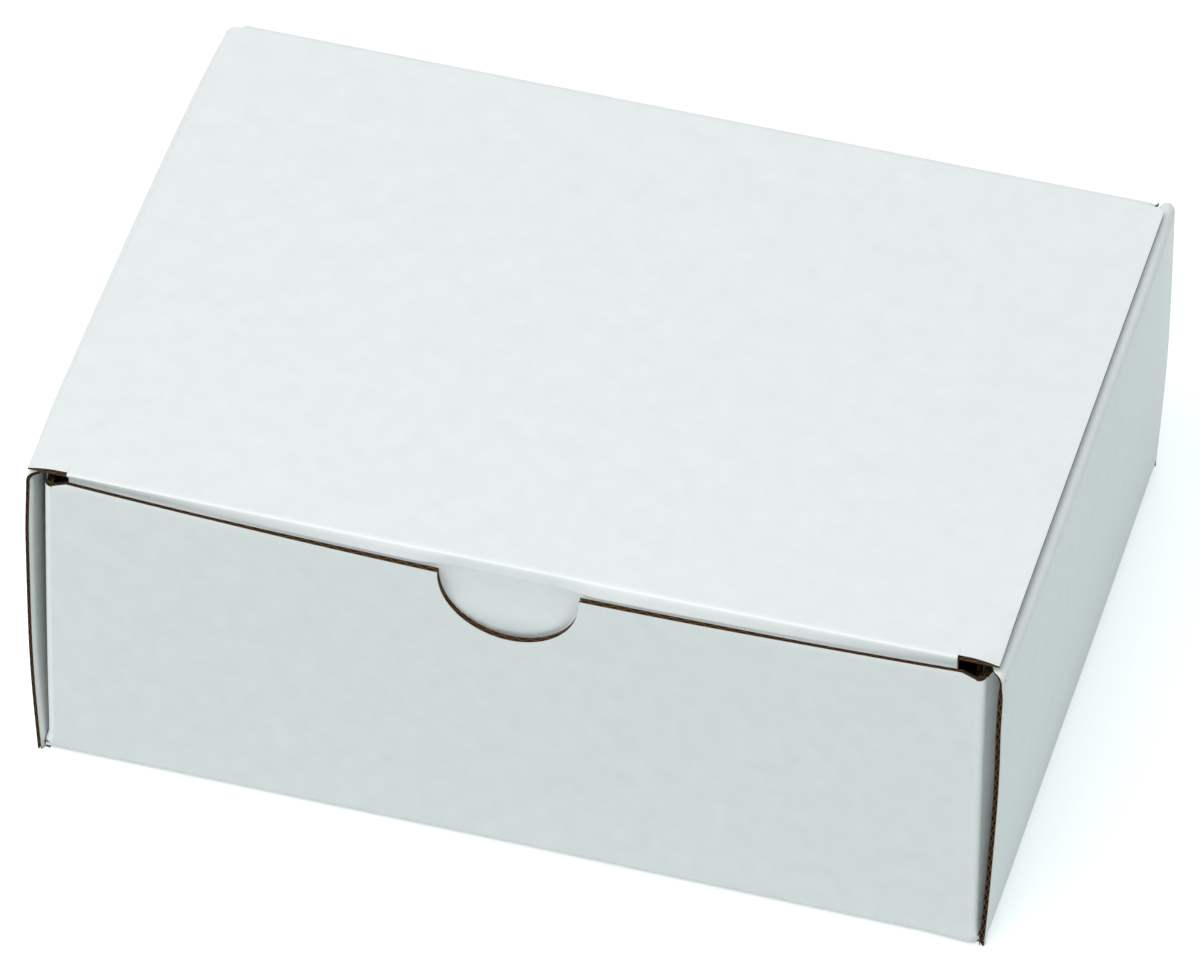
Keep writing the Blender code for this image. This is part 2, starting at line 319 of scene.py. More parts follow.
class PaperColours(bpy.types.PropertyGroup):
    """Colours of the papers"""

    outside: paint("Outside", "Coated white paper", (0.875, 0.885, 0.88))
    inside: paint("Inside", "Uncoated white paper", (0.86, 0.875, 0.86))
    cut: paint("Cut paper", "Cut edge of a white paper", (0.045, 0.030, 0.014))
    kraft: paint("Kraft", "Brown fluted paper", (0.15, 0.072, 0.022))


class StageSettings(bpy.types.PropertyGroup):
    """Camera, lights and floor"""

    camera_place: bpy.props.FloatVectorProperty(
        name="Camera", description="Where the camera stands",
        default=(0.36345, -1.26566, 1.36421), subtype="TRANSLATION", unit="LENGTH",
    )
    camera_turn: degrees("Turn", "Camera's turn about the vertical", 16.047)
    camera_tilt: degrees("Tilt", "How far the camera looks down", 45.387)
    camera_roll: degrees("Roll", "Camera's roll", -0.103)
    lens: number("Lens", "Focal length in millimetres", 334.55)
    floor_half: metres("Floor", "Half the floor's side", 4.0)
    floor_colour: paint("Floor colour", "Pale floor", (0.69, 0.755, 0.755))
    floor_lift: number("Floor lift", "What the camera sees added to the floor", 0.57)
    world_colour: paint("Ambient colour", "Light from all round", (0.86, 1.0, 1.0))
    world_strength: number("Ambient", "Strength of the light from all round", 0.455)
    key_power: number("Key", "Key lamp in watts", 19.8)
    key_colour: paint("Key colour", "Colour of the key lamp", (1.0, 0.96, 0.96))
    fill_power: number("Fill", "Fill lamp in watts", 3.0)


def add(tree, kind, inputs=None, **settings):
    """A node with its settings, and its inputs linked where a socket is given."""
    made = tree.nodes.new(kind)
    for name, value in settings.items():
        setattr(made, name, value)
    for key, value in (inputs or {}).items():
        if isinstance(value, bpy.types.NodeSocket):
            tree.links.new(value, made.inputs[key])
        else:
            made.inputs[key].default_value = value
    return made


def maths(tree, operation, *values):
    """A Math node's result."""
    return add(tree, "ShaderNodeMath", dict(enumerate(values)), operation=operation).outputs[0]


def group_sockets(tree, inputs, outputs):
    """Names a node group's sockets, and returns its input and output nodes."""
    for name, (kind, value) in inputs.items():
        socket = tree.interface.new_socket(name=name, in_out="INPUT", socket_type=kind)
        if value is not None:
            socket.default_value = value
    for name, kind in outputs.items():
        tree.interface.new_socket(name=name, in_out="OUTPUT", socket_type=kind)
    return tree.nodes.new("NodeGroupInput"), tree.nodes.new("NodeGroupOutput")


def paper_layer(tree, blank, height, thickness, materials):
    """One closed sheet of paper over the blank, at a height that may change across it."""
    above, below, rim = materials
    lift = add(tree, "ShaderNodeCombineXYZ", {"Z": height})
    upwards = add(tree, "ShaderNodeCombineXYZ", {"Z": 1.0})
    low = add(tree, "GeometryNodeSetPosition", {"Geometry": blank, "Offset": lift.outputs[0]})
    grown = add(tree, "GeometryNodeExtrudeMesh", {
        "Mesh": low.outputs[0], "Offset": upwards.outputs[0], "Offset Scale": thickness, "Individual": False,
    })
    top = add(tree, "GeometryNodeSetMaterial", {
        "Geometry": grown.outputs["Mesh"], "Selection": grown.outputs["Top"], "Material": above,
    })
    side = add(tree, "GeometryNodeSetMaterial", {
        "Geometry": top.outputs[0], "Selection": grown.outputs["Side"], "Material": rim,
    })
    under = add(tree, "GeometryNodeFlipFaces", {"Mesh": low.outputs[0]})
    bottom = add(tree, "GeometryNodeSetMaterial", {"Geometry": under.outputs[0], "Material": below})
    both = add(tree, "GeometryNodeJoinGeometry", {"Geometry": side.outputs[0]})
    tree.links.new(bottom.outputs[0], both.inputs[0])
    closed = add(tree, "GeometryNodeMergeByDistance", {"Geometry": both.outputs[0], "Distance": WELD})
    return closed.outputs[0]


def build_board_tree():
    """The tree that lays up fluted board on a flat blank: inner paper, flutes, outer paper."""
    tree = bpy.data.node_groups.new("Fluted board", "GeometryNodeTree")
    paper = "NodeSocketMaterial"
    given, result = group_sockets(
        tree,
        {
            "Blank": ("NodeSocketGeometry", None), "Board": (NUMBER, BOARD),
            "Liner": (NUMBER, BOARD), "Medium": (NUMBER, BOARD), "Flute pitch": (NUMBER, BOARD),
            "Outside paper": (paper, None), "Inside paper": (paper, None),
            "Cut paper": (paper, None), "Kraft paper": (paper, None),
        },
        {"Board": "NodeSocketGeometry"},
    )
    given = given.outputs
    across = add(tree, "ShaderNodeSeparateXYZ", {0: add(tree, "GeometryNodeInputPosition").outputs[0]})
    turns = maths(tree, "DIVIDE", across.outputs["X"], given["Flute pitch"])
    wave = maths(tree, "COSINE", maths(tree, "MULTIPLY", turns, math.tau))
    wave_share = maths(tree, "MULTIPLY_ADD", wave, 0.5, 0.5)
    hollow = maths(tree, "SUBTRACT", given["Board"], maths(tree, "MULTIPLY", given["Liner"], 2.0))
    rise = maths(tree, "SUBTRACT", hollow, given["Medium"])
    crest = maths(tree, "MULTIPLY_ADD", wave_share, rise, given["Liner"])
    outer = maths(tree, "SUBTRACT", given["Board"], given["Liner"])
    white, plain, cut, kraft = (given[name + " paper"] for name in ("Outside", "Inside", "Cut", "Kraft"))
    layers = [
        paper_layer(tree, given["Blank"], 0.0, given["Liner"], (kraft, plain, cut)),
        paper_layer(tree, given["Blank"], crest, given["Medium"], (kraft, kraft, kraft)),
        paper_layer(tree, given["Blank"], outer, given["Liner"], (white, kraft, cut)),
    ]
    whole = add(tree, "GeometryNodeJoinGeometry")
    for layer in layers:
        tree.links.new(layer, whole.inputs[0])
    real = add(tree, "GeometryNodeRealizeInstances", {0: whole.outputs[0]})
    nothing = add(tree, "FunctionNodeInputBool", boolean=False)
    end = add(tree, "GeometryNodeSetMaterial", {
        "Geometry": real.outputs[0], "Selection": nothing.outputs[0], "Material": kraft,
    })
    tree.links.new(end.outputs[0], result.inputs[0])
    return tree


def spread(start, end, step, extra=()):
    """Evenly spaced values from start to end, with the extra ones that lie between."""
    count = max(1, round((end - start) / step))
    values = set(np.linspace(start, end, count + 1))
    return np.array(sorted(values | {value for value in extra if start < value < end}))


def flute_columns(start, end, extra=()):
    """Columns of a blank across the flutes, with close ones at its two edges."""
    pitch = bpy.context.scene.box_board.pitch
    near = [share * pitch for share in NEAR_SHARES]
    close = [start + d for d in near] + [end - d for d in near]
    return spread(start, end, pitch / FLUTE_COLUMNS, list(extra) + close)


def wide_columns(half, extra=()):
    """Columns of a blank that is alike on its left and right."""
    return flute_columns(-half, half, [side * x for side in (-1, 1) for x in extra])


def panel_rows(count=PANEL_ROWS):
    """Shares of a panel's length, closer near its two edges."""
    ends = list(EDGE_SHARES) + [1 - share for share in EDGE_SHARES]
    return spread(0.0, 1.0, 1.0 / count, ends)


def tab_rows(tab_half, half_depth):
    """Shares of a panel's length, with the edges of its tabs or slots among them."""
    ends = [y + s * tab_half for y in (-TAB_CENTRE, TAB_CENTRE) for s in (-1, 1)]
    return spread(0.0, 1.0, 1.0 / PANEL_ROWS, [(y + half_depth) / (2 * half_depth) for y in ends])


def round_columns(edge, radius, count=ROUND_STEPS):
    """Columns that follow a rounded corner up to an edge of a blank."""
    step = math.pi / 2 / count
    return [edge - radius * (1 - math.sin(i * step)) for i in range(count)]


def round_drop(across, radius):
    """How far a rounded corner has dropped at a distance past its start."""
    return radius - math.sqrt(max(0.0, radius**2 - max(0.0, across) ** 2))


def flat_blank(columns, low, high, rows, kept=None, folds=""):
    """A flat grid cut to its outline, whose low and high edges are places or functions of u.

    folds names the sides that go on into a fold, and holds the word whole for a fold itself.
    """
    low_v, high_v = (np.array([v(u) if callable(v) else v for u in columns]) for v in (low, high))
    v = low_v[:, None] + (high_v - low_v)[:, None] * rows[None, :]
    u = np.repeat(columns[:, None], len(rows), axis=1)
    index = np.arange(u.size).reshape(u.shape)
    cells = np.stack([index[:-1, :-1], index[1:, :-1], index[1:, 1:], index[:-1, 1:]], axis=-1)
    cells = cells.reshape(-1, 4)
    flat_u, flat_v = u.ravel(), v.ravel()
    if kept:
        middle_u = flat_u[cells].mean(axis=1)
        middle_v = flat_v[cells].mean(axis=1)
        cells = cells[[kept(a, b) for a, b in zip(middle_u, middle_v)]]
    mesh = bpy.data.meshes.new("blank")
    points = np.stack([flat_u, flat_v, np.zeros(u.size)], axis=1)
    mesh.from_pydata(points.tolist(), [], cells.tolist())
    to_side = {
        "start": u - columns[0], "end": columns[-1] - u,
        "low": v - low_v[:, None], "high": high_v[:, None] - v,
    }
    for attribute, wanted in (("to_cut", False), ("to_fold", True)):
        sides = [far for side, far in to_side.items() if (side in folds.split()) == wanted]
        nearest = np.min(sides, axis=0) if sides else np.full(u.shape, HALF_WIDTH)
        if wanted and "whole" in folds:
            nearest = nearest.max() - nearest
        elif wanted:
            nearest += FOLD_HIGHLIGHT_AND_POLISH_WIDTH
        layer = mesh.attributes.new(attribute, "FLOAT", "POINT")
        layer.data.foreach_set("value", nearest.ravel().astype(np.float32))
    return mesh


def points_of(mesh):
    """The mesh's points as rows of an array."""
    found = np.empty(len(mesh.vertices) * 3, np.float32)
    mesh.vertices.foreach_get("co", found)
    return found.reshape(-1, 3).astype(float)


def signed_volume(mesh):
    """Six times the mesh's volume, negative where its faces point in."""
    mesh.calc_loop_triangles()
    corners = np.empty(len(mesh.loop_triangles) * 3, np.int32)
    mesh.loop_triangles.foreach_get("vertices", corners)
    a, b, c = points_of(mesh)[corners.reshape(-1, 3)].transpose(1, 0, 2)
    return float((a * np.cross(b, c)).sum())


def placed(name, data):
    """A new object in the scene."""
    made = bpy.data.objects.new(name, data)
    bpy.context.scene.collection.objects.link(made)
    return made


def laid_up(name, flat):
    """The blank's board as a plain mesh, still flat."""
    sizes = bpy.context.scene.box_board
    tree = bpy.data.node_groups.get("Fluted board") or build_board_tree()
    piece = placed(name, flat)
    modifier = piece.modifiers.new("Board", "NODES")
    modifier.node_group = tree
    values = {
        "Board": BOARD, "Liner": sizes.liner, "Medium": sizes.medium, "Flute pitch": sizes.pitch,
        "Outside paper": finish("outside_paper"), "Inside paper": finish("inside_paper"),
        "Cut paper": finish("cut_paper"), "Kraft paper": finish("kraft_paper"),
    }
    for item in tree.interface.items_tree:
        if item.in_out == "INPUT" and item.name in values:
            modifier[item.identifier] = values[item.name]
    graph = bpy.context.evaluated_depsgraph_get()
    mesh = bpy.data.meshes.new_from_object(piece.evaluated_get(graph), depsgraph=graph)
    piece.modifiers.remove(modifier)
    piece.data = mesh
    bpy.data.meshes.remove(flat)
    mesh.name = name
    return piece


def pinched(w, distance, kept=None, held=0.0, reach=None):
    """Board height w where a cut has pressed the papers together.

    kept is the share of the thickness left at the cut, and held is the share of the way
    from the inner face to the outer one that stays where it is.
    """
    sizes = bpy.context.scene.box_board
    reach = sizes.pinch_width if reach is None else reach
    kept = sizes.pinch if kept is None else kept
    open_share = np.sin(np.clip(distance / reach, 0.0, 1.0) * math.pi / 2)
    return held * BOARD + (w - held * BOARD) * (kept + (1 - kept) * open_share)


def ease(value, start, end):
    """0 before start, 1 after end, and smooth between them."""
    share = np.clip((value - start) / (end - start), 0.0, 1.0)
    return share * share * (3 - 2 * share)


def uneven(x, y, z):
    """A slow, even-handed wandering between -1 and 1."""
    twist = WAVE_TWIST * np.sin(z * SLOW_WAVE[2] + WAVE_STARTS[0])
    slow = np.sin(x * SLOW_WAVE[0] + twist) * np.cos(y * SLOW_WAVE[1] + WAVE_STARTS[1])
    quick = np.sin(x * QUICK_WAVE[0] + y * QUICK_WAVE[1] - z * QUICK_WAVE[2] + WAVE_STARTS[2])
    return SLOW_SHARE * slow + (1 - SLOW_SHARE) * quick


def front_bend(x, z):
    """How far the front wall's board bends towards -Y at a point of the wall."""
    shape = bpy.context.scene.box_shape
    span = np.clip(1 - (x / WALL_HALF) ** 2, 0.0, 1.0)
    height = np.clip(z / WALL_TOP, 0.0, BOW_LIMIT) ** BOW_POWER
    askew = np.where(x > 0, 1.0, z / WALL_TOP)
    return (shape.front_bow * span - shape.front_lean) * height + shape.rack * x / WALL_HALF * askew


def front_give(x, z):
    """How far the front wall's board moves along +X and towards -Y."""
    shape = bpy.context.scene.box_shape
    foot = ease(np.abs(x), FLARE_X, WALL_HALF) * (1 - ease(z, *FLARE_HEIGHTS))
    flare = shape.flare * np.where(x > 0, RIGHT_FLARE_SHARE, -1.0) * foot
    height_share = np.maximum(z, 0.0) / SPREAD_HEIGHT
    widen = shape.left_spread * ease(-x, SPREAD_X, WALL_HALF) * (1 - height_share**SPREAD_POWER)
    forward = RIGHT_FOOT_FORWARD * foot * (x > 0)
    return shape.front_shift + flare - widen, front_bend(x, z) + forward


def end_give(x, y, z):
    """How far an end's board moves along +X and towards -Y."""
    shape = bpy.context.scene.box_shape
    share = z / shape.bulge_height
    out = (shape.foot_in + shape.end_bulge) * share * (2 - share) - shape.foot_in
    out += shape.end_bow * (1 - (y / END_HALF_DEPTH) ** CORNER_POWER) * np.clip(z / ROLL_TOP, 0.0, 1.0)
    out += shape.waver * uneven(x, y, z)
    near_front = np.clip((HALF_DEPTH - y) / (2 * HALF_DEPTH), 0.0, 1.0) ** CORNER_POWER
    slope = np.where(x > 0, SHIFT_RISE["right"], SHIFT_RISE["left"])
    side = np.sign(x) * out + shape.front_shift * near_front * (slope * z / WALL_TOP - SHIFT_FOOT)
    up = z / ROLL_TOP
    rack = shape.rack * x / WALL_HALF
    forward = np.where(x > 0, rack, rack * up + shape.foot_forward * (1 - up)) * near_front
    past = ease(y, 0.0, END_HALF_DEPTH) * (1 + BACK_TOP_MORE * ease(z, BACK_TOP_START, ROLL_TOP))
    return side, forward - shape.back_reach * past * (x > 0)


def tray_give(x, y, z):
    """Moves the tray's points: the ends and the front wall each give, and the rest stays."""
    at_end = ease(np.abs(x), *END_RANGE)
    at_front = ease(-y, *FRONT_RANGE) * (1 - at_end)
    end_side, end_forward = end_give(x, y, z)
    front_side, front_forward = front_give(x, z)
    side = end_side * at_end + front_side * at_front
    forward = end_forward * at_end + front_forward * at_front
    return x + side, y - forward, z


def flap_give(x, y, z):
    """Moves a corner flap's points: away from its fold it springs out towards the end's outer panel."""
    shape = bpy.context.scene.box_shape
    spring = shape.flap_spring * (1 + z / ROLL_TOP) * ease(CORNER_BEND_Y - np.abs(y), 0.0, SPRING_REACH)
    moved_x, moved_y, moved_z = tray_give(x, y, z)
    return moved_x + np.sign(x) * spring, moved_y, moved_z


def lid_give(x, y, z):
    """Moves the lid's points: it slopes up a little towards the front."""
    shape = bpy.context.scene.box_shape
    forward = (HALF_DEPTH - y) / (HALF_DEPTH - TUCK_BEND_Y)
    return x, y, z + shape.lid_lift * np.clip(forward, 0.0, 1.0)


def fold_up(piece, place, give):
    """Folds a flat board to its place, and leaves its faces pointing out."""
    mesh = piece.data
    u, v, w = points_of(mesh).T
    x, y, z = give(*place(u, v, w))
    mesh.vertices.foreach_set("co", np.stack([x, y, z], axis=1).astype(np.float32).ravel())
    mesh.update()
    if signed_volume(mesh) < 0:
        mesh.flip_normals()
    mesh.shade_smooth()
    mesh.set_sharp_from_angle(angle=SHARP_ANGLE)


def board_piece(node, flat, place, give=tray_give, body="tray", bends=None):
    """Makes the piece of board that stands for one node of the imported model."""
    piece = laid_up(node + "_board", flat)
    fold_up(piece, place, give)
    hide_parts(node)
    if bends:
        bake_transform(piece)
    else:
        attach(piece, body)


def bend(centre, inner, first, turn, share, w):
    """Points round a fold: its centre, inner radius, first angle and turn in quarters."""
    angle = (first + turn * share) * math.pi / 2
    return centre[0] + (inner + w) * np.cos(angle), centre[1] + (inner + w) * np.sin(angle)


def fold_length(inner):
    """Length of board round a square fold's outer face."""
    return math.pi / 2 * (inner + BOARD)


def corner_drop(x):
    """How far back a corner fold's outer face has turned at a place along a wall."""
    reach = CORNER_RADIUS + BOARD
    past = np.clip(np.abs(x) - WALL_HALF, 0.0, DROP_LIMIT_SHARE * reach)
    return reach - np.sqrt(reach**2 - past**2)


def make_base():
    """The base panel with its four lock slots, and the folds round it."""
    slot_low, slot_high = INNER_IN - SLOT_CLEARANCE, INNER_OUT + SLOT_CLEARANCE
    slot_half = TAB_WIDTH / 2 + SLOT_CLEARANCE
    columns = wide_columns(BEND_X, (slot_low, slot_high))
    rows = tab_rows(slot_half, BEND_Y)

    def kept(u, v):
        return not (slot_low < abs(u) < slot_high and abs(abs(v) - TAB_CENTRE) < slot_half)

    flat = flat_blank(columns, -BEND_Y, BEND_Y, rows, kept, "start end low high")
    board_piece("base_panel", flat, lambda u, v, w: (-u, v, BOARD - w))

    length = fold_length(FOLD_RADIUS)
    for end, side in ENDS:
        left, right = FOOT_SPREAD[end]
        columns = flute_columns(-WALL_HALF - left, WALL_HALF + right)
        flat = flat_blank(columns, 0.0, length, FOLD_SHARES, folds="low high whole")

        def place(u, v, w, side=side):
            out, z = bend((BEND_Y, FOLD_REACH), FOLD_RADIUS, -1, 1, v / length, w)
            return u, side * (out - corner_drop(u) * (u > 0)), z

        board_piece(f"base_{end}_crease", flat, place)

    for name, side in SIDES:
        columns = flute_columns(0.0, length)
        depth = END_HALF_DEPTH - FREE_FOOT
        flat = flat_blank(columns, -depth, depth, panel_rows(), folds="start end whole")

        def place(u, v, w, side=side):
            out, z = bend((BEND_X, FOLD_REACH), FOLD_RADIUS, -1, 1, u / length, w)
            return side * out, v, z

        board_piece(f"base_{name}_crease", flat, place)


def front_top(x):
    """The front wall's top edge: the thumb notch in the middle, and a slope at each corner."""
    across = abs(x)
    if across <= NOTCH_RADIUS:
        return WALL_TOP - NOTCH_DEPTH + round_drop(across, NOTCH_RADIUS)
    if across <= RELIEF_X:
        return WALL_TOP
    share = min(1.0, (across - RELIEF_X) / (WALL_HALF - RELIEF_X))
    return WALL_TOP + (CORNER_TOP - WALL_TOP) * share


def make_walls():
    """The front wall with its thumb notch, and the back wall."""
    step = math.pi / 2 / NOTCH_STEPS
    notch = [NOTCH_RADIUS * math.sin(i * step) for i in range(NOTCH_STEPS + 1)]
    columns = wide_columns(WALL_HALF, (*notch, NOTCH_RADIUS + SLIT / 10, RELIEF_X))
    flat = flat_blank(columns, FOLD_REACH, front_top, panel_rows(), folds="start end low")

    def front(u, v, w):
        top = np.array([front_top(x) for x in u])
        kept = WALL_KEPT + WALL_KEPT_MORE * np.clip(1 - (u / WALL_OPEN_HALF) ** 2, 0.0, 1.0)
        w = pinched(w, top - v, kept=kept, held=WALL_HELD, reach=WALL_REACH)
        return u, BOARD - HALF_DEPTH - w, v

    board_piece("front_wall", flat, front)

    columns = wide_columns(WALL_HALF)
    flat = flat_blank(columns, FOLD_REACH, LID_BEND_Z, panel_rows(), folds="start end low high")
    board_piece("back_wall", flat, lambda u, v, w: (u, HALF_DEPTH - BOARD + w, v))


def make_corners():
    """The four upright corner folds, each with the flap that it carries."""
    length = fold_length(CORNER_RADIUS)
    columns = flute_columns(0.0, length)
    flap_length = CORNER_BEND_Y - FLAP_FREE_Y
    straight = flap_length - FLAP_ROUND

    def flap_low(u):
        """The flap's lower edge at a distance u from its fold."""
        return FOLD_REACH + FLAP_TAPER * min(1.0, u / straight) + round_drop(u - straight, FLAP_ROUND)

    def flap_high(u):
        """The flap's upper edge, which first slopes down from the fold's top."""
        if u < CORNER_TOP - FLAP_TOP:
            return CORNER_TOP - u
        return FLAP_TOP - FLAP_TAPER * min(1.0, u / straight) - round_drop(u - straight, FLAP_ROUND)

    rounding = round_columns(flap_length, FLAP_ROUND)
    flap_columns = flute_columns(0.0, flap_length, rounding + [CORNER_TOP - FLAP_TOP])
    for end, y_side in ENDS:
        for name, x_side in SIDES:
            flat = flat_blank(columns, FOLD_REACH, CORNER_TOP, panel_rows(), folds="start end whole")

            def fold(u, v, w, x_side=x_side, y_side=y_side):
                out, along = bend((WALL_HALF, CORNER_BEND_Y), CORNER_RADIUS, 1, -1, u / length, w)
                return x_side * out, y_side * along, v

            board_piece(f"{end}_{name}_corner_crease", flat, fold)
            flat = flat_blank(flap_columns, flap_low, flap_high, panel_rows(), folds="start")

            def flap(u, v, w, x_side=x_side, y_side=y_side):
                w = pinched(w, flap_length - u)
                return x_side * (FLAP_IN + w), y_side * (CORNER_BEND_Y - u), v

            board_piece(f"{end}_{name}_corner_flap", flat, flap, flap_give)


def make_ends():
    """Both ends: outer panel, roll-over, and inner panel with its lock tabs."""
    outer_start = ROLL_TOP - ROLL_OUTER_REACH
    inner_start = ROLL_TOP - ROLL_INNER_REACH
    outer_arc = fold_length(ROLL_OUTER_REACH - BOARD)
    inner_arc = fold_length(ROLL_INNER_REACH - BOARD)
    strip = HALF_WIDTH - ROLL_OUTER_REACH - INNER_IN - ROLL_INNER_REACH
    roll_length = outer_arc + strip + inner_arc
    foot_share = FREE_FOOT / (2 * END_HALF_DEPTH)
    foot_rows = spread(0.0, 1.0, 1.0 / PANEL_ROWS, (*EDGE_SHARES, foot_share, 1 - foot_share))

    def roll_place(u, w):
        """A point of the roll-over's section, as seen from the front on the right."""
        first = np.clip(u / outer_arc, 0.0, 1.0)
        last = np.clip((u - outer_arc - strip) / inner_arc, 0.0, 1.0)
        centre = (HALF_WIDTH - ROLL_OUTER_REACH, outer_start)
        x, z = bend(centre, ROLL_OUTER_REACH - BOARD, 0, 1, first, w)
        centre = (INNER_IN + ROLL_INNER_REACH, inner_start)
        far_x, far_z = bend(centre, ROLL_INNER_REACH - BOARD, 1, 1, last, w)
        past = u > outer_arc + strip
        x = np.where(past, far_x, x - np.clip(u - outer_arc, 0.0, strip))
        return x, np.where(past, far_z, z)

    def end_depth(z):
        """Half the depth of an end's outer panel, whose upright edges lean in near the top."""
        return END_HALF_DEPTH - END_LEAN * ease(z, END_LEAN_START, outer_start)

    def roll_depth(u, back=False):
        """Half the depth of the roll-over, which narrows towards the inner panel."""
        share = (HALF_WIDTH - float(roll_place(u, BOARD)[0])) / (HALF_WIDTH - INNER_IN)
        start = END_HALF_DEPTH - END_LEAN
        return start - (start - INNER_HALF_DEPTH) * (share**2 if back else share)

    def risen(v, z):
        """A height on an end, which rises towards the front."""
        rise = bpy.context.scene.box_shape.end_rise
        return z + rise * (HALF_DEPTH - v) / (2 * HALF_DEPTH) * (z / ROLL_TOP) ** 2

    def outer_kept(u, v):
        """Whether the outer panel has board here: its foot is free at both corners."""
        return u > FOLD_REACH or abs(v) > END_HALF_DEPTH - FREE_FOOT

    def inner_kept(u, v):
        """Whether the inner panel has board here: only its tabs go on below the shoulder."""
        return u > TAB_SHOULDER or abs(abs(v) - TAB_CENTRE) < TAB_WIDTH / 2

    for name, side in SIDES:
        columns = flute_columns(FOOT_AIR, outer_start, [FOLD_REACH])
        flat = flat_blank(columns, lambda u: -end_depth(u), end_depth, foot_rows, outer_kept, "start end")
        kept, held = END_PRESS[name]

        def outer(u, v, w):
            left_over = kept + (ROLL_KEPT[name] - kept) * ease(u, outer_start - ROLL_BLEND, outer_start)
            w = pinched(w, end_depth(u) - np.abs(v), kept=left_over, held=held, reach=END_REACH)
            return side * (OUTER_IN + w), v, risen(v, u)

        board_piece(f"{name}_end_outer", flat, outer)

        columns = flute_columns(0.0, roll_length)
        low, high = lambda u: -roll_depth(u), lambda u: roll_depth(u, True)
        flat = flat_blank(columns, low, high, panel_rows(), folds="start end")

        def roll(u, v, w):
            depth = np.array([roll_depth(a, b > 0) for a, b in zip(u, v)])
            w = pinched(w, depth - np.abs(v), kept=ROLL_KEPT[name], held=held, reach=END_REACH)
            x, z = roll_place(u, w)
            return side * x, v, risen(v, z)

        board_piece(f"{name}_end_rollover", flat, roll)

        columns = flute_columns(TAB_FOOT, inner_start, [TAB_SHOULDER])
        rows = tab_rows(TAB_WIDTH / 2, INNER_HALF_DEPTH)
        flat = flat_blank(columns, -INNER_HALF_DEPTH, INNER_HALF_DEPTH, rows, inner_kept, "end")

        def inner(u, v, w):
            w = pinched(w, u - TAB_FOOT)
            return side * (INNER_OUT - w), v, risen(v, u)

        board_piece(f"{name}_end_inner", flat, inner)


def lid_back(x):
    """The lid's back edge: straight at its fold, and rounded at the corners."""
    return BEND_Y - round_drop(abs(x) - LID_HALF + LID_CORNER, LID_CORNER)


def make_lid():
    """The lid panel and the fold that joins it to the back wall."""
    extra = round_columns(LID_HALF, LID_CORNER) + [FLAP_HALF + SLIT, FLAP_HALF + 2 * SLIT]

    def front(x):
        return TUCK_BEND_Y if abs(x) < FLAP_HALF + 1.5 * SLIT else LID_FRONT

    flat = flat_blank(wide_columns(LID_HALF, extra), front, lid_back, panel_rows(), folds="low high")

    def place(u, v, w):
        near_front = ease(-v, -LID_FRONT - LID_NEAR_FRONT, -LID_FRONT)
        kept = LID_KEPT + LID_KEPT_MORE * (1 - near_front)
        reach = LID_REACH + LID_REACH_MORE * near_front
        w = pinched(w, LID_HALF - np.abs(u), kept=kept, held=1 - near_front, reach=reach)
        return u, v, LID_UNDER + w

    board_piece("lid_panel", flat, place, lid_give, "lid")

    half = CREASE_HALF + CREASE_SPREAD
    length = fold_length(FOLD_RADIUS)
    flat = flat_blank(wide_columns(half), 0.0, length, FOLD_SHARES, folds="low high whole")

    def fold(u, v, w):
        w = pinched(w, half - np.abs(u), kept=LID_KEPT)
        y, z = bend((BEND_Y, LID_BEND_Z), FOLD_RADIUS, 0, 1, v / length, w)
        return u, y, z

    ends = ("tray", "lid", (0.0, BEND_Y + FOLD_RADIUS, LID_BEND_Z), (0.0, BEND_Y, LID_BEND_Z + FOLD_RADIUS))
    board_piece("lid_crease", flat, fold, bends=ends)


def flap_face(x, z):
    """Where the tuck flap's outer face lies: along the front wall, and set back in its notch."""
    shape = bpy.context.scene.box_shape
    foot = WALL_TOP - NOTCH_DEPTH
    rise = foot + SETBACK_RISE
    back = shape.notch_setback * (1 - ease(np.abs(x), *SETBACK_RANGE)) * ease(z, rise, WALL_TOP)
    rim = np.array([front_top(across) for across in x])
    swell = ease(z, rim + SWELL_START, rim + SWELL_WHOLE) * (1 - ease(z, rise, foot + SWELL_TOP))
    swell *= rim < WALL_TOP
    return BOARD - HALF_DEPTH - front_bend(x, z) + FLAP_AIR + back - SWELL * swell


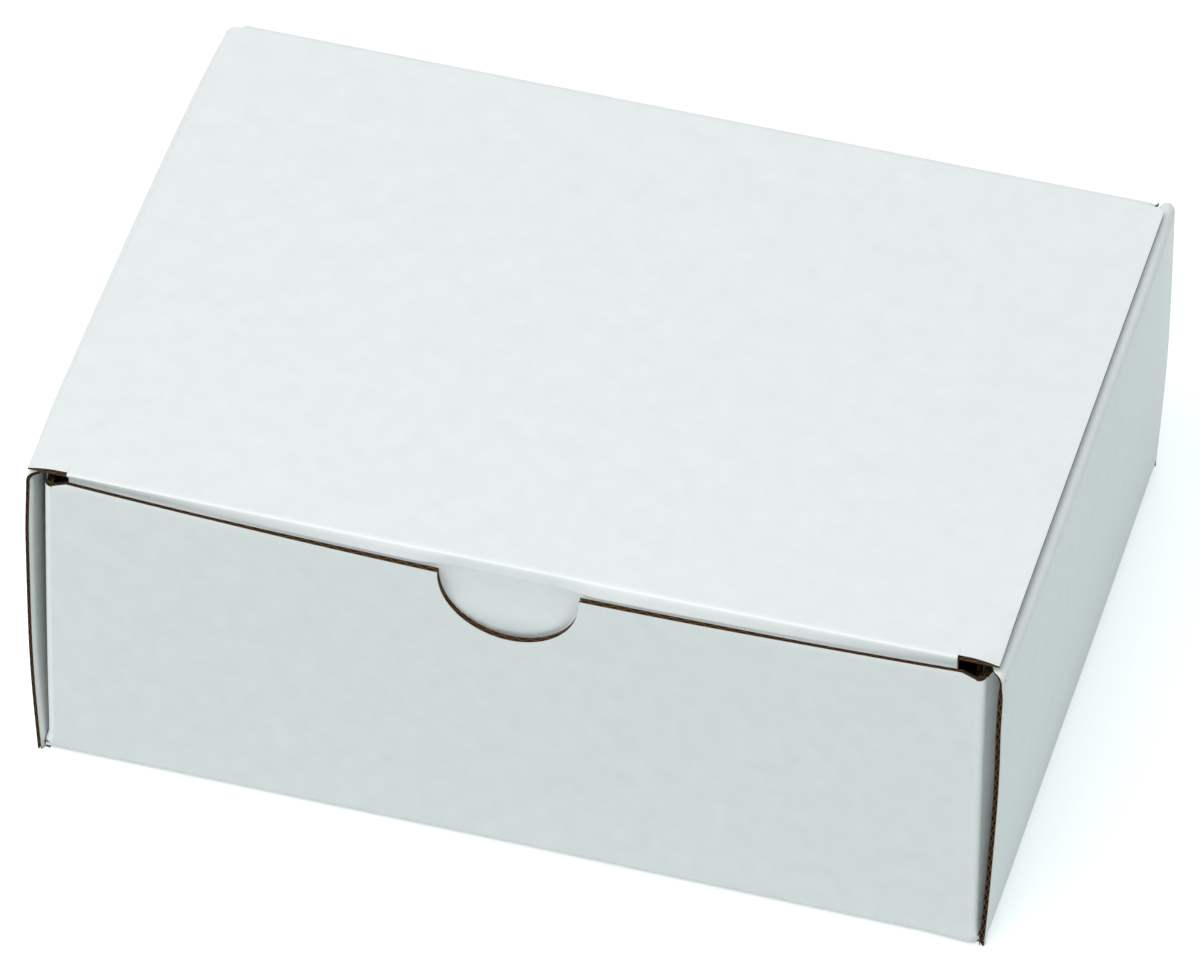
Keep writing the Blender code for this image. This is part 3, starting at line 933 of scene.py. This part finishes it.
def make_tuck():
    """The tuck flap and the fold that joins it to the lid."""
    length = fold_length(FOLD_RADIUS)
    rows = np.linspace(0.0, 1.0, 2 * len(FOLD_SHARES) - 1)
    flat = flat_blank(wide_columns(FLAP_HALF), 0.0, length, rows, folds="low high whole")
    lift = bpy.context.scene.box_shape.lid_lift

    def fold(u, v, w):
        near = v / length
        far = 1 - near
        root = flap_face(u, LID_BEND_Z + lift)
        lid_part, flap_part = far**BEAD_POWER, near**BEAD_POWER
        y = TUCK_BEND_Y * lid_part + BEAD_Y * (1 - lid_part - flap_part) + root * flap_part
        z = LID_BEND_Z + (HEIGHT - LID_BEND_Z) * (1 - flap_part)
        lid_slope, flap_slope = far ** (BEAD_POWER - 1), near ** (BEAD_POWER - 1)
        dy = lid_slope * (BEAD_Y - TUCK_BEND_Y) + flap_slope * (root - BEAD_Y)
        dz = -flap_slope * (HEIGHT - LID_BEND_Z)
        depth = (BOARD - w) * (1 - BEAD_PRESS * np.sin(near * math.pi)) / np.hypot(dy, dz)
        return u, y - dz * depth, z + dy * depth

    ends = ("lid", "tuck", (0.0, BEAD_Y, LID_UNDER + lift), (0.0, BEAD_Y, LID_BEND_Z + lift))
    board_piece("tuck_crease", flat, fold, lid_give, bends=ends)

    columns = wide_columns(FLAP_HALF, round_columns(FLAP_HALF, TUCK_ROUND, TUCK_STEPS))

    def free_edge(x):
        return TUCK_LENGTH - round_drop(abs(x) - FLAP_HALF + TUCK_ROUND, TUCK_ROUND)

    flat = flat_blank(columns, 0.0, free_edge, panel_rows(2 * PANEL_ROWS), folds="low")

    def hang(u, v, w):
        z = LID_BEND_Z - v * math.cos(TUCK_LEAN)
        curl = TUCK_CURL * (v / TUCK_LENGTH) ** TUCK_CURL_POWER
        return u, flap_face(u, z + lift) + curl + BOARD - w, z

    board_piece("tuck_flap", flat, hang, lid_give, "tuck")


def grain_group():
    """Paper grain: a mottle, a felt of fibres and a few specks, with a height for the bump."""
    tree = bpy.data.node_groups.new("Paper grain", "ShaderNodeTree")
    given, result = group_sockets(
        tree,
        {"Mottle size": (NUMBER, MOTTLE_SCALE), "Fibre size": (NUMBER, FIBRE_SCALE)},
        {"Mottle": NUMBER, "Height": NUMBER, "Speck": NUMBER},
    )
    given = given.outputs
    place = add(tree, "ShaderNodeTexCoord").outputs["Object"]
    cloud = add(tree, "ShaderNodeTexNoise", {"Vector": place, "Scale": given["Mottle size"], "Detail": 5.0})
    fine = add(tree, "ShaderNodeTexNoise", {
        "Vector": place, "Scale": given["Fibre size"], "Detail": 3.0, "Distortion": FIBRE_DISTORTION,
    })
    felt = add(tree, "ShaderNodeTexNoise", {"Vector": place, "Scale": FELT_SCALE, "Detail": 2.0})
    grains = add(tree, "ShaderNodeTexVoronoi", {"Vector": place, "Scale": SPECK_SCALE, "Randomness": 1.0})
    chance = add(tree, "ShaderNodeSeparateColor", {0: grains.outputs["Color"]})
    rare = maths(tree, "GREATER_THAN", chance.outputs[0], 1 - SPECK_CHANCE)
    small = maths(tree, "LESS_THAN", grains.outputs["Distance"], SPECK_RADIUS)
    felt_fac = felt.outputs["Fac"]
    height = maths(tree, "MULTIPLY_ADD", felt_fac, FELT_HEIGHT, fine.outputs["Fac"])
    clouds = maths(tree, "MULTIPLY", cloud.outputs["Fac"], 1 - FELT_SHARE)
    mottle = maths(tree, "MULTIPLY_ADD", felt_fac, FELT_SHARE, clouds)
    tree.links.new(mottle, result.inputs["Mottle"])
    tree.links.new(height, result.inputs["Height"])
    tree.links.new(maths(tree, "MULTIPLY", rare, small), result.inputs["Speck"])
    return tree


def highlight_and_wear_group():
    """How near the paper is to its folds and its cut edges, in patches: for a painted highlight and polish at
    the folds, and for wear at the edges.
    """
    tree = bpy.data.node_groups.new("Fold and edge wear", "ShaderNodeTree")
    given, result = group_sockets(
        tree,
        {"Fold width": (NUMBER, FOLD_HIGHLIGHT_AND_POLISH_WIDTH), "Edge width": (NUMBER, EDGE_WEAR_WIDTH)},
        {"Fold": NUMBER, "Edge": NUMBER},
    )
    given = given.outputs
    place = add(tree, "ShaderNodeTexCoord").outputs["Object"]
    patches = add(tree, "ShaderNodeTexNoise", {"Vector": place, "Scale": PATCH_SCALE, "Detail": 4.0})
    for attribute, width, name in (("to_fold", "Fold width", "Fold"), ("to_cut", "Edge width", "Edge")):
        far = add(tree, "ShaderNodeAttribute", attribute_name=attribute).outputs["Fac"]
        near = maths(tree, "SUBTRACT", 1.0, maths(tree, "DIVIDE", far, given[width]))
        near = add(tree, "ShaderNodeClamp", {0: near}).outputs[0]
        patchy = maths(tree, "MULTIPLY_ADD", patches.outputs["Fac"], *PATCH_RANGE)
        patchy = add(tree, "ShaderNodeClamp", {0: patchy}).outputs[0]
        tree.links.new(maths(tree, "MULTIPLY", near, patchy), result.inputs[name])
    return tree


def shared(name):
    """A shader group by name, built the first time."""
    makers = {"Paper grain": grain_group, "Fold and edge wear": highlight_and_wear_group}
    return bpy.data.node_groups.get(name) or makers[name]()


def mix(tree, factor, first, second):
    """A colour between two colours."""
    made = add(tree, "ShaderNodeMix", {"Factor": factor}, data_type="RGBA")
    for socket, value in ((made.inputs[6], first), (made.inputs[7], second)):
        if isinstance(value, bpy.types.NodeSocket):
            tree.links.new(value, socket)
        else:
            socket.default_value = value
    return made.outputs[2]


def shades(colour, shares):
    """A colour darkened or lightened by each share."""
    return {name: (*(channel * share for channel in colour[:3]), 1.0) for name, share in shares.items()}


def new_material(name):
    """A material, its tree and its main shader."""
    material = bpy.data.materials.new(name)
    material.use_nodes = True
    return material, material.node_tree, material.node_tree.nodes["Principled BSDF"]


def add_relief(tree, shader, grain, strength, depth):
    """Bumps a paper's surface by its grain."""
    height = grain.outputs["Height"]
    relief = add(tree, "ShaderNodeBump", {"Strength": strength, "Distance": depth, "Height": height})
    tree.links.new(relief.outputs[0], shader.inputs["Normal"])


def white_paper(name, colour, roughness, bump):
    """White paper: mottled, faintly fibrous, with a painted highlight at folds, grey at edges and painted
    shade at the very foot.
    """
    material, tree, shader = new_material(name)
    grain = add(tree, "ShaderNodeGroup", node_tree=shared("Paper grain"))
    wear_and_highlight = add(tree, "ShaderNodeGroup", node_tree=shared("Fold and edge wear"))
    shade = shades(colour, WHITE_SHADES)
    base = mix(tree, grain.outputs["Mottle"], shade["dark"], shade["pale"])
    # Painted highlight: near its folds the paper is made paler, in patches, standing in for the sheen on a
    # fold's rounded crest.
    fold_highlighted = mix(tree, wear_and_highlight.outputs["Fold"], base, shade["fold"])
    soiled_and_shaded = mix(tree, maths(tree, "MULTIPLY", wear_and_highlight.outputs["Edge"], EDGE_SOIL), fold_highlighted, shade["edge"])
    # Painted shade: the paper darkens in its lowest millimetre or so, standing in for the shadow where the
    # box meets the floor.
    place = add(tree, "ShaderNodeTexCoord").outputs["Object"]
    height = add(tree, "ShaderNodeSeparateXYZ", {0: place}).outputs["Z"]
    low, high = FOOT_SHADE_HEIGHTS
    foot = add(tree, "ShaderNodeMapRange", {"Value": height, 1: low, 2: high, 3: FOOT_SHADE, 4: 0.0})
    soiled_and_shaded = mix(tree, foot.outputs[0], soiled_and_shaded, shade["soil"])
    speck = maths(tree, "MULTIPLY", grain.outputs["Speck"], SPECK_STRENGTH)
    tree.links.new(mix(tree, speck, soiled_and_shaded, shade["soil"]), shader.inputs["Base Color"])
    lowest = roughness - ROUGHNESS_RANGE / 2
    rough = maths(tree, "MULTIPLY_ADD", grain.outputs["Mottle"], ROUGHNESS_RANGE, lowest)
    rough = maths(tree, "MULTIPLY_ADD", wear_and_highlight.outputs["Fold"], -FOLD_POLISH, rough)
    tree.links.new(rough, shader.inputs["Roughness"])
    add_relief(tree, shader, grain, bump, WHITE_RELIEF)
    return material


def brown_paper(name, colour, roughness, bump):
    """Brown paper of the flutes: streaky and rough."""
    material, tree, shader = new_material(name)
    grain = add(tree, "ShaderNodeGroup", node_tree=shared("Paper grain"))
    grain.inputs["Mottle size"].default_value = STREAK_SCALE
    shade = shades(colour, BROWN_SHADES)
    streaked = mix(tree, grain.outputs["Mottle"], shade["dark"], shade["pale"])
    tree.links.new(streaked, shader.inputs["Base Color"])
    shader.inputs["Roughness"].default_value = roughness
    add_relief(tree, shader, grain, bump, BROWN_RELIEF)
    return material


# Each paper's maker, colour, roughness and bump strength
PAPERS = {
    "outside_paper": (white_paper, "outside", 0.42, 0.25),
    "inside_paper": (white_paper, "inside", 0.75, 0.4),
    "cut_paper": (brown_paper, "cut", 0.85, 0.5),
    "kraft_paper": (brown_paper, "kraft", 0.9, 0.5),
}


def finish(name):
    """A paper's material by name, made the first time."""
    found = bpy.data.materials.get(name)
    if found:
        return found
    make, colour, roughness, bump = PAPERS[name]
    return make(name, getattr(bpy.context.scene.box_colours, colour), roughness, bump)


def seen_share(tree):
    """1 where the camera looks, also in a mirror or through glass, and 0 for light that bounces."""
    path = add(tree, "ShaderNodeLightPath").outputs
    seen = maths(tree, "MAXIMUM", path["Is Camera Ray"], path["Is Glossy Ray"])
    return maths(tree, "MAXIMUM", seen, path["Is Transmission Ray"])


def make_floor(stage):
    """A pale floor that the camera sees near white, with the box's soft shadow."""
    half = stage.floor_half
    mesh = bpy.data.meshes.new("floor")
    corners = [(-half, -half, 0.0), (half, -half, 0.0), (half, half, 0.0), (-half, half, 0.0)]
    mesh.from_pydata(corners, [], [(0, 1, 2, 3)])
    floor = placed("floor", mesh)
    material, tree, shader = new_material("floor_card")
    shader.inputs["Base Color"].default_value = (*stage.floor_colour, 1.0)
    shader.inputs["Roughness"].default_value = FLOOR_ROUGHNESS
    strength = maths(tree, "MULTIPLY", seen_share(tree), stage.floor_lift)
    lift = add(tree, "ShaderNodeEmission", {"Strength": strength})
    total = add(tree, "ShaderNodeAddShader", {0: shader.outputs[0], 1: lift.outputs[0]})
    tree.links.new(total.outputs[0], tree.nodes["Material Output"].inputs["Surface"])
    mesh.materials.append(material)
    floor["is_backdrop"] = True


def make_world(stage):
    """Soft light from all round, which the camera sees as white."""
    world = bpy.data.worlds.new("studio")
    bpy.context.scene.world = world
    world.use_nodes = True
    tree = world.node_tree
    back = tree.nodes["Background"]
    seen = seen_share(tree)
    tree.links.new(mix(tree, seen, (*stage.world_colour, 1.0), (*WHITE, 1.0)), back.inputs["Color"])
    strength = maths(tree, "MULTIPLY_ADD", seen, 1.0 - stage.world_strength, stage.world_strength)
    tree.links.new(strength, back.inputs["Strength"])


def make_lamp(name, place, size, power, colour=WHITE):
    """A soft square lamp aimed at the box."""
    data = bpy.data.lights.new(name, "AREA")
    data.shape = "SQUARE"
    data.size = size
    data.energy = power
    data.color = colour
    lamp = placed(name, data)
    lamp.location = place
    aim = Vector((0.0, 0.0, HEIGHT / 2)) - Vector(place)
    lamp.rotation_euler = aim.to_track_quat("-Z", "Y").to_euler()


def make_camera(stage):
    """The camera at the photograph's viewing angle."""
    data = bpy.data.cameras.new("camera")
    data.lens = stage.lens
    data.sensor_width = SENSOR_WIDTH
    data.clip_start, data.clip_end = CLIP_RANGE
    camera = placed("camera", data)
    turn = Matrix.Rotation(stage.camera_turn, 4, "Z")
    tilt = Matrix.Rotation(math.pi / 2 - stage.camera_tilt, 4, "X")
    roll = Matrix.Rotation(stage.camera_roll, 4, "Z")
    camera.matrix_world = Matrix.Translation(stage.camera_place) @ turn @ tilt @ roll
    bpy.context.scene.camera = camera


def make_stage():
    """Floor, lights, world and camera."""
    stage = bpy.context.scene.box_stage
    make_floor(stage)
    make_world(stage)
    make_lamp("key", KEY_PLACE, KEY_SIZE, stage.key_power, stage.key_colour)
    make_lamp("fill", FILL_PLACE, FILL_SIZE, stage.fill_power)
    make_camera(stage)
    bpy.context.scene.view_settings.view_transform = "Standard"


class BOX_OT_stage(bpy.types.Operator):
    """Set up the floor, the lights and the camera"""

    bl_idname = "box.make_stage"
    bl_label = "Make the stage"

    def execute(self, context):
        make_stage()
        return {"FINISHED"}


class BOX_OT_base(bpy.types.Operator):
    """Lay up the base and the folds round it"""

    bl_idname = "box.make_base"
    bl_label = "Make the base"

    def execute(self, context):
        make_base()
        return {"FINISHED"}


class BOX_OT_walls(bpy.types.Operator):
    """Lay up the front and back walls"""

    bl_idname = "box.make_walls"
    bl_label = "Make the walls"

    def execute(self, context):
        make_walls()
        return {"FINISHED"}


class BOX_OT_corners(bpy.types.Operator):
    """Lay up the corner folds and their flaps"""

    bl_idname = "box.make_corners"
    bl_label = "Make the corners"

    def execute(self, context):
        make_corners()
        return {"FINISHED"}


class BOX_OT_ends(bpy.types.Operator):
    """Lay up both ends with their roll-overs and lock tabs"""

    bl_idname = "box.make_ends"
    bl_label = "Make the ends"

    def execute(self, context):
        make_ends()
        return {"FINISHED"}


class BOX_OT_lid(bpy.types.Operator):
    """Lay up the lid and its back fold"""

    bl_idname = "box.make_lid"
    bl_label = "Make the lid"

    def execute(self, context):
        make_lid()
        return {"FINISHED"}


class BOX_OT_tuck(bpy.types.Operator):
    """Lay up the tuck flap and its fold"""

    bl_idname = "box.make_tuck"
    bl_label = "Make the tuck flap"

    def execute(self, context):
        make_tuck()
        return {"FINISHED"}


OPERATORS = (
    BOX_OT_stage, BOX_OT_base, BOX_OT_walls, BOX_OT_corners, BOX_OT_ends, BOX_OT_lid, BOX_OT_tuck,
)
SETTINGS = {
    "box_board": BoardSizes, "box_shape": BoxShape, "box_colours": PaperColours, "box_stage": StageSettings,
}


class BOX_PT_panel(bpy.types.Panel):
    """Lists the steps that make the box, and its settings"""

    bl_idname = "BOX_PT_panel"
    bl_label = "Tuck box"
    bl_space_type = "VIEW_3D"
    bl_region_type = "UI"
    bl_category = "Tuck box"

    def draw(self, context):
        for operator in OPERATORS:
            self.layout.operator(operator.bl_idname)
        for group in SETTINGS:
            settings = getattr(context.scene, group)
            for name in settings.bl_rna.properties.keys():
                if name not in ("rna_type", "name"):
                    self.layout.prop(settings, name)


def register():
    for group, settings in SETTINGS.items():
        bpy.utils.register_class(settings)
        setattr(bpy.types.Scene, group, bpy.props.PointerProperty(type=settings))
    for shown in (*OPERATORS, BOX_PT_panel):
        bpy.utils.register_class(shown)


def unregister():
    for shown in (BOX_PT_panel, *reversed(OPERATORS)):
        bpy.utils.unregister_class(shown)
    for group, settings in SETTINGS.items():
        delattr(bpy.types.Scene, group)
        bpy.utils.unregister_class(settings)


def plain(corners):
    """Corner points as plain lists."""
    return [list(corner) for corner in corners]


def main():
    register()
    bpy.ops.box.make_stage()
    bpy.ops.box.make_base()
    bpy.ops.box.make_walls()
    bpy.ops.box.make_corners()
    bpy.ops.box.make_ends()
    bpy.ops.box.make_lid()
    bpy.ops.box.make_tuck()
    {"cad": plain(CAD_BOX), "visual": plain(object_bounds())}


if __name__ == "__main__":
    main()
